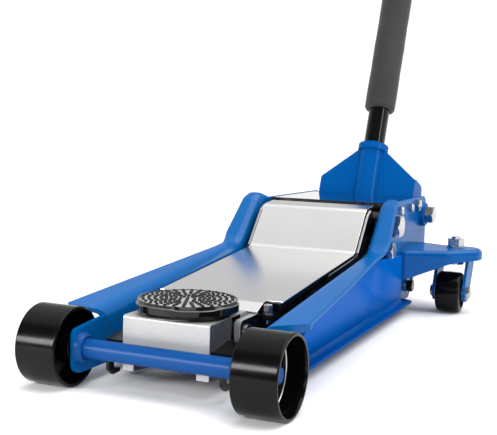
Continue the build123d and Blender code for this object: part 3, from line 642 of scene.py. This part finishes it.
# ---- saddle --------------------------------------------------------------------
def saddle():
    """Cast saddle: stepped rim with lugs, plate with rows of round knobs."""
    sy = 64.6
    segs = 192

    def lug(t):
        # four shallow lugs round the rim
        k = abs((math.degrees(t) - 307.0 + 45.0) % 90.0 - 45.0)
        return max(0.0, min(1.0, (k - 19.0) / 8.0))

    verts, faces = [], []
    prof = None
    for j in range(segs):
        t = 2 * math.pi * j / segs
        g = lug(t)
        big = 58.2 + 1.8 * g
        drop = 1.6 * (1.0 - g)
        prof = [
            (0.0, 58.0), (13.5, 58.0), (15.0, 59.5), (15.0, 83.5), (47.0, 83.5), (53.0, 84.3), (55.4, 85.4),
            (56.0, 87.0), (57.4, 87.8), (big - 0.7, 88.6), (big, 89.6), (big, 96.9 - drop), (big - 0.8, 98.0 - drop),
            (56.0, 100.2), (55.0, 100.3), (54.2, 100.1), (53.8, 99.4), (40.0, 99.4), (20.0, 99.4), (0.0, 99.4),
        ]
        verts += [(r * math.cos(t), sy + r * math.sin(t), z) for r, z in prof]
    n = len(prof)
    for j in range(segs):
        k = (j + 1) % segs
        for i in range(n - 1):
            faces.append((j * n + i, j * n + i + 1, k * n + i + 1, k * n + i))
    bm = raw(verts, faces)
    bmesh.ops.dissolve_degenerate(bm, dist=1e-6, edges=bm.edges)
    obj = finish_mesh("saddle_look", bm, RIM, BODY_OF["saddle"], ("saddle",), 32.0)
    # painted highlight: a bright grey line on the rim's top chamfer round the plate
    zone(obj, RIM_HIGHLIGHT, lambda x, y, z, nv: z > 95.0 and 57.2 < math.hypot(x, y - sy) and 0.3 < nv[2] < 0.95 and z < 98.2)

    # knobs
    kv, kf = [], []
    spots = [(0.0, 0.0)]
    for count, radii in ((30, (50.6, 43.8, 37.0, 30.2)), (15, (24.4, 19.2)), (10, (14.2,)), (5, (8.2,))):
        for j in range(count):
            t = 2 * math.pi * (j + 0.35 * count / 30.0) / count
            spots += [(rad * math.cos(t), rad * math.sin(t)) for rad in radii]
    for px, py in spots:
        kr = 1.95
        cx, cy = px, sy + py
        base = len(kv)
        rings = [(kr + 0.3, 99.2), (kr, 99.8), (kr, 100.6), (kr * 0.92, 101.1), (kr * 0.7, 101.5), (kr * 0.36, 101.7)]
        for rr, z in rings:
            for m in range(12):
                w = 2 * math.pi * m / 12
                kv.append((cx + rr * math.cos(w), cy + rr * math.sin(w), z))
        for i in range(len(rings) - 1):
            for m in range(12):
                o = (m + 1) % 12
                kf.append((base + i * 12 + m, base + i * 12 + o, base + (i + 1) * 12 + o, base + (i + 1) * 12 + m))
        kf.append([base + (len(rings) - 1) * 12 + m for m in range(12)])
        kf.append([base + 11 - m for m in range(12)])
    finish_mesh("saddle_knobs", raw(kv, kf, 1e-9), KNOB, BODY_OF["saddle"], (), 50.0)
    # worn plate between the knobs
    pv, pf = [], []
    for j in range(120):
        t = 2 * math.pi * j / 120
        for r, z in ((0.5, 99.45), (18.0, 99.45), (36.0, 99.45), (53.4, 99.45), (53.4, 99.0), (36.0, 99.0), (18.0, 99.0), (0.5, 99.0)):
            pv.append((r * math.cos(t), sy + r * math.sin(t), z))
    for j in range(120):
        k = (j + 1) % 120
        for i in range(8):
            m = (i + 1) % 8
            pf.append((j * 8 + i, j * 8 + m, k * 8 + m, k * 8 + i))
    finish_mesh("saddle_plate", raw(pv, pf), PLATE, BODY_OF["saddle"], (), 40.0)


saddle()


# ---- sheet covers -----------------------------------------------------------
def strip(path, xs, t, keep=None):
    """Bent sheet along a (y, z) path, t mm thick below it; xs are its columns."""
    verts, faces = [], []
    n, w = len(path), len(xs)
    low = []
    for i, (y, z) in enumerate(path):
        tg = []
        for j in (i - 1, i):
            if 0 <= j < n - 1:
                du, dv = path[j + 1][0] - path[j][0], path[j + 1][1] - path[j][1]
                ln = math.hypot(du, dv)
                tg.append((dv / ln, -du / ln))
        ny, nz = sum(k[0] for k in tg) / len(tg), sum(k[1] for k in tg) / len(tg)
        m = ny * ny + nz * nz
        low.append((y + ny * t / m, z + nz * t / m))
    for y, z in path:
        verts += [(x, y, z) for x in xs]
    for y, z in low:
        verts += [(x, y, z) for x in xs]
    off = n * w
    tops = []
    for i in range(n - 1):
        for k in range(w - 1):
            if keep is None or keep(0.5 * (path[i][0] + path[i + 1][0]), 0.5 * (xs[k] + xs[k + 1]), 0.5 * (path[i][1] + path[i + 1][1])):
                tops.append((i * w + k, i * w + k + 1, (i + 1) * w + k + 1, (i + 1) * w + k))
    count = {}
    for f in tops:
        for q in range(4):
            ed = (f[q], f[(q + 1) % 4])
            count[ed] = count.get(ed, 0) + 1
    for f in tops:
        faces.append(f)
        faces.append(tuple(v + off for v in f[::-1]))
    for a0, b0 in count:
        if (b0, a0) not in count:
            faces.append((a0, b0, b0 + off, a0 + off))
    bm = raw(verts, faces)
    loose = [v for v in bm.verts if not v.link_faces]
    bmesh.ops.delete(bm, geom=loose, context="VERTS")
    return bm


cover_path = soften(
    [(118.0, 81.2), (137.0, 89.392, 3.0), (148.0, 90.438), (421.5, 116.45, 15.0), (473.6, 177.6, 15.0), (509.0, 181.155)], 8
)
long_path = []
for (y0, z0), (y1, z1) in zip(cover_path, cover_path[1:]):
    m = max(1, int(math.hypot(y1 - y0, z1 - z0) / 30.0))
    long_path += [(y0 + (y1 - y0) * k / m, z0 + (z1 - z0) * k / m) for k in range(m)]
long_path.append(cover_path[-1])
bm = strip(long_path, [-82.5, -62.0, -31.0, 0.0, 31.0, 62.0, 82.5], 2.0, lambda y, x, z: y > 148.0 or abs(x) < 62.0)
round_edges(bm, 0.5, 60.0, 2)
finish_mesh("arm_cover_look", bm, SILVER, "lift_arm", ("arm_cover",), 36.0)

block_path = soften([(18.5, 21.0), (18.5, 30.0), (18.5, 83.0, 3.2), (72.0, 83.0), (112.0, 83.0)], 7)
bm = strip(block_path, [-56.0, -51.0, -42.0, -20.0, 20.0, 36.0, 51.0], 1.5, lambda y, x, z: (y < 72.0 or x > -51.0) and not (z < 30.0 and -42.0 < x < 36.0))
round_edges(bm, 0.4, 60.0, 2)
finish_mesh("saddle_block_cover_look", bm, BLOCK, BODY_OF["saddle_block_cover"], ("saddle_block_cover",), 36.0)

# ---- handle ---------------------------------------------------------------------
foam_prof = soften([(74.0, 18.6), (74.0, 27.5, 5.0), (374.0, 27.5, 5.0), (374.0, 18.6)], 7)
fp = []
for (a0, r0), (a1, r1) in zip(foam_prof, foam_prof[1:]):
    m = max(1, int(abs(a1 - a0) / 10.0))
    fp += [(a0 + (a1 - a0) * k / m, r0 + (r1 - r0) * k / m) for k in range(m)]
fp.append(foam_prof[-1])
fp = [
    (a0, r0 + (0.22 * math.sin(a0 * 0.071) + 0.12 * math.sin(a0 * 0.19 + 1.0) if r0 > 27.0 else 0.0)) for a0, r0 in fp
]
foam_obj = finish_mesh("handle_bumper_look", lathe(fp, on_handle, 96), FOAM, BODY_OF["handle_bumper"], ("handle_bumper",), 40.0)

lower_prof = soften([(-84.0, 15.0), (-84.0, 18.5, 0.8), (430.0, 18.5, 1.2), (430.0, 15.8), (60.0, 15.0)], 5)
finish_mesh("handle_lower_tube_look", lathe(lower_prof, on_handle, 112), HANDLE, BODY_OF["handle_lower_tube"], ("handle_lower_tube",), 40.0)
refined("handle_upper_tube", 0.3, mat=HANDLE)
gp = [(690.0, 15.8), (690.0, 18.6), (691.0, 19.3)]
a0 = 697.0
while a0 < 838.0:
    gp += [(a0, 19.4), (a0 + 0.6, 19.1), (a0 + 1.2, 18.5), (a0 + 2.8, 18.5), (a0 + 3.4, 19.1), (a0 + 4.0, 19.4)]
    a0 += 9.0
gp += [(843.0, 19.4), (847.0, 18.8), (849.4, 16.6), (850.0, 13.5), (850.0, 0.3), (844.2, 0.3), (844.2, 15.8)]
finish_mesh("handle_grip_look", lathe(gp, on_handle, 96), GRIP, BODY_OF["handle_grip"], ("handle_grip",), 40.0)

# ---- remaining parts with broken edges ----------------------------------------
for name, width, mat in (
    ("handle_yoke", 1.1, None),
    ("handle_socket", 1.0, None),
    ("caster_bracket_right", 1.0, RAIL_BLUE),
    ("caster_bracket_left", 1.0, RAIL_BLUE),
    ("caster_fork_right", 0.8, RAIL_BLUE),
    ("caster_fork_left", 0.8, RAIL_BLUE),
):
    obj = refined(name, width, mat=mat)
    if "bracket" in name:
        zone(obj, BLUE, lambda x, y, z, nv: nv[1] < -0.5)
for name in ("arm_plate_right", "arm_plate_left"):
    obj = refined(name, 1.0)
    zone(obj, ARM_EDGE, lambda x, y, z, nv: y < 122.0 and z > 46.0 and abs(nv.x) < 0.75)
obj = refined("saddle_block", 1.4)
# the two feet end 5 mm higher at the front, fading out towards the lug
for v in obj.data.vertices:
    w = max(0.0, min(1.0, (66.0 - (v.co.y * 1000.0 + YC)) / 40.0))
    if v.co.z < 0.03:
        v.co.z += w * 0.005 * (0.03 - v.co.z) / 0.014
# black enamel on the block's cheeks and wings; on the rear lug the black is painted shade
zone(obj, BLACK, lambda x, y, z, nv: x > 53.0 or x < -55.6 or y > 73.0)
obj = refined("rear_cover", 0.5, mat=POLISHED)
# the rear cover's front strip in black enamel: painted shade of the gap in front of it
zone(obj, BLACK, lambda x, y, z, nv: y < 542.0)
obj = refined("pump_mount_bolts", 0.5)
# painted dark reflection: the front bolt's head outside the side plate in black enamel instead of zinc
zone(obj, BLACK, lambda x, y, z, nv: abs(x) > 105.0 and y < 670.0)


def cheek(side):
    """Folded side of the lift arm's top sheet beside the ramp."""
    loop = close_loop(
        [
            (300.0, 102.2, 2.0),
            (420.6, 113.6, 16.0),
            (468.6, 169.6, 12.0),
            (484.0, 177.0, 6.0),
            (490.0, 172.0, 5.0),
            (476.0, 150.0, 14.0),
            (437.0, 99.0, 22.0),
            (300.0, 86.0, 3.0),
        ],
        7,
    )
    n = len(loop)
    verts = [(side * 84.0, y, z) for y, z in loop] + [(side * 87.5, y, z) for y, z in loop]
    faces = [tuple(range(n)), tuple(range(2 * n - 1, n - 1, -1))]
    faces += [(k, (k + 1) % n, n + (k + 1) % n, n + k) for k in range(n)]
    bm = raw(verts, faces)
    round_edges(bm, 0.8, 60.0, 2)
    tag = "right" if side > 0 else "left"
    obj = finish_mesh("arm_cheek_" + tag, bm, BLACK, "lift_arm", (), 36.0)
    # the top edge beside the ramp in bright steel: a cut edge brightened as a painted highlight
    zone(obj, EDGE_AND_GLINT, lambda x, y, z, nv: y > 428.0 and nv.z > 0.25 and abs(nv.x) < 0.6)


cheek(1)
cheek(-1)

# hooks hanging from the block's two wings
loop = close_loop([
    (25.0, 51.0, 0.5), (37.0, 53.0, 0.5), (31.0, 38.0, 8.0), (23.0, 24.0, 6.0), (27.0, 18.8, 2.0), (37.0, 18.0, 1.5),
    (37.0, 13.2, 1.5), (22.0, 12.6, 6.0), (13.0, 20.0, 6.0), (13.0, 32.0, 8.0),
], 4)
n = len(loop)
faces = [tuple(range(n)), tuple(range(2 * n - 1, n - 1, -1))]
faces += [(k, (k + 1) % n, n + (k + 1) % n, n + k) for k in range(n)]
for x0, tag in ((-74.0, "left"), (66.0, "right")):
    bm = raw([(x0, y, z) for y, z in loop] + [(x0 + 4.0, y, z) for y, z in loop], faces)
    round_edges(bm, 0.7, 60.0, 2)
    finish_mesh("saddle_block_hook_" + tag, bm, BLACK, BODY_OF["saddle_block"], (), 36.0)

# dark sheet as painted shade below the rear cover's front edge, cut away for the arm plates
loop = [(-94.0, 135.0), (-94.0, 180.9), (94.0, 180.9), (94.0, 135.0), (66.0, 135.0), (66.0, 174.5), (-66.0, 174.5), (-66.0, 135.0)]
n = len(loop)
verts = [(x, 541.6, z) for x, z in loop] + [(x, 543.6, z) for x, z in loop]
faces = [tuple(range(n)), tuple(range(2 * n - 1, n - 1, -1))]
faces += [(k, (k + 1) % n, n + (k + 1) % n, n + k) for k in range(n)]
bm = raw(verts, faces)
round_edges(bm, 0.4, 60.0, 2)
finish_mesh("rear_cover_shade_sheet", bm, BLACK, "chassis", (), 36.0)

# ---- stage -----------------------------------------------------------------
scene = bpy.context.scene
scene.view_settings.view_transform = "Standard"
scene.view_settings.look = "None"

me = bpy.data.meshes.new("floor")
bm = bmesh.new()
bmesh.ops.create_grid(bm, x_segments=1, y_segments=1, size=40.0)
bm.to_mesh(me)
bm.free()
floor = bpy.data.objects.new("floor", me)
scene.collection.objects.link(floor)
fm, fnt, fb = new_mat("pale_floor")
fv = coords(fnt)
fnt.links.new(
    ramp(fnt, noise(fnt, fv, 6.0, 3.0), [(0.3, (0.90, 0.90, 0.90)), (0.7, (0.92, 0.92, 0.92))]),
    fb.inputs["Base Color"],
)
fb.inputs["Roughness"].default_value = 0.75
fb.inputs["Specular IOR Level"].default_value = 0.15
set_mat(floor, fm)

world = bpy.data.worlds.new("studio")
scene.world = world
world.use_nodes = True
wnt = world.node_tree
bg = wnt.nodes["Background"]
wtc = node(wnt, "ShaderNodeTexCoord")
wsep = node(wnt, "ShaderNodeSeparateXYZ")
wnt.links.new(wtc.outputs["Generated"], wsep.inputs[0])
# white sweep behind, dark room in front, soft ceiling
sweep = span(wnt, wsep.outputs["Y"], 0.0, 1.0, -0.45, 0.15)
low = ramp(wnt, sweep, [(0.0, (0.08, 0.08, 0.085)), (1.0, (1.0, 1.0, 1.0))])
mid = ramp(wnt, sweep, [(0.0, (0.12, 0.12, 0.125)), (1.0, (0.6, 0.6, 0.61))])
high = ramp(wnt, sweep, [(0.0, (0.12, 0.12, 0.125)), (0.3, (0.9, 0.9, 0.9)), (0.75, (1.0, 1.0, 1.0))])
color = low
for upper, z0, z1 in ((mid, 0.13, 0.22), (high, 0.55, 0.8)):
    wmix = node(wnt, "ShaderNodeMix", data_type="RGBA")
    wnt.links.new(span(wnt, wsep.outputs["Z"], 0.0, 1.0, z0, z1), wmix.inputs[0])
    wnt.links.new(color, wmix.inputs[6])
    wnt.links.new(upper, wmix.inputs[7])
    color = wmix.outputs[2]
wnt.links.new(color, bg.inputs["Color"])
bg.inputs["Strength"].default_value = 1.05


def aim(o, loc, target):
    o.location = loc
    o.rotation_euler = (Vector(target) - Vector(loc)).to_track_quat("-Z", "Y").to_euler()


def area(name, loc, target, size, power, size_y=None):
    d = bpy.data.lights.new(name, "AREA")
    d.energy = power
    d.shape = "RECTANGLE"
    d.size = size
    d.size_y = size_y or size
    o = bpy.data.objects.new(name, d)
    scene.collection.objects.link(o)
    aim(o, loc, target)
    return o


sun = bpy.data.lights.new("soft_top", "SUN")
sun.energy = 2.2
sun.angle = math.radians(60.0)
sun_o = bpy.data.objects.new("soft_top", sun)
scene.collection.objects.link(sun_o)
aim(sun_o, (0.3, 0.14, 0.94), (0, 0, 0))
strip_o = area("front_strip", (-0.52, -1.56, 0.46), (0, -0.54, 0.05), 0.85, 15.0, 0.22)
strip_o.rotation_euler = (strip_o.rotation_euler.to_matrix() @ Matrix.Rotation(math.radians(28.0), 3, "Z")).to_euler()
area("right_fill", (1.4, -3.0, 1.5), (0, 0, 0.1), 1.8, 24.0, 1.2)
area("side_strip", (1.76, -0.22, 1.35), (0, 0.2, 0.35), 0.15, 6.0, 1.3)

# ---- camera ------------------------------------------------------------------
CAM_POS = (471.49, -840.48, 287.8)
YAW, PITCH, ROLL, FOCAL = CAM_ANG = (23.83, 5.33, 1.59, 917.40)
a, e, r = (math.radians(v) for v in CAM_ANG[:3])
back = Vector((math.sin(a) * math.cos(e), -math.cos(a) * math.cos(e), math.sin(e)))
fwd = -back
right = fwd.cross(Vector((0, 0, 1))).normalized()
up = right.cross(fwd)
r2 = right * math.cos(r) + up * math.sin(r)
u2 = up * math.cos(r) - right * math.sin(r)
cam_data = bpy.data.cameras.new("camera")
cam_data.sensor_fit = "HORIZONTAL"
cam_data.sensor_width = 36.0
cam_data.lens = 36.0 * FOCAL / 497.0
cam_data.clip_start = 0.01
cam_data.clip_end = 50.0
cam = bpy.data.objects.new("camera", cam_data)
scene.collection.objects.link(cam)
rot = Matrix((r2, u2, back)).transposed()
cam.matrix_world = Matrix.Translation(P(*CAM_POS)) @ rot.to_4x4()
scene.camera = cam
